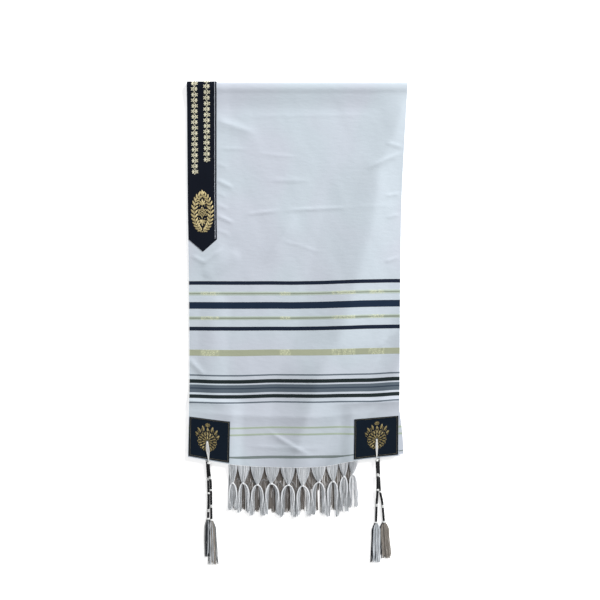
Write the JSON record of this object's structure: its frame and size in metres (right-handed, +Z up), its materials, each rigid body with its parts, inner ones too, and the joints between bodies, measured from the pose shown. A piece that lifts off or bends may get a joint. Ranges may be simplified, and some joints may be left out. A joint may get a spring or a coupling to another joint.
{
  "type": "tallit prayer shawl folded flat",
  "caption": "white tallit prayer shawl folded in half and laid flat, with a pointed navy neckband on one edge, square navy corner patches, knotted fringes and wound corner tassels",
  "frame": {"origin": "middle of the underside of the whole laid-out shawl, fringes and tassels included, on the surface that it rests on", "axes": "+Y runs along the shawl from its fringes to its fold, +X runs across it away from the neckband, +Z points up from the surface"},
  "size_m": [0.511, 1.1176, 0.012],
  "materials": {
    "cloth": "smooth bluish-white satin weave with woven navy, gold and grey stripes near the hem",
    "navy_satin": "dark navy satin weave with gold woven ornament",
    "cord": "twisted white thread with dark wound stretches",
    "fringe_light": "soft light grey thread",
    "fringe_shaded": "soft warm grey thread"
  },
  "bodies": {
    "root": {"shawl_cloth": "cloth", "neckband": "navy_satin", "patch_front_left": "navy_satin", "patch_front_right": "navy_satin", "patch_back_left": "navy_satin", "patch_back_right": "navy_satin", "tassel_front_left": "cord", "tassel_front_right": "cord", "tassel_back_left": "cord", "tassel_back_right": "cord", "fringe_front": "fringe_light", "fringe_back": "fringe_shaded"}
  },
  "joints": []
}
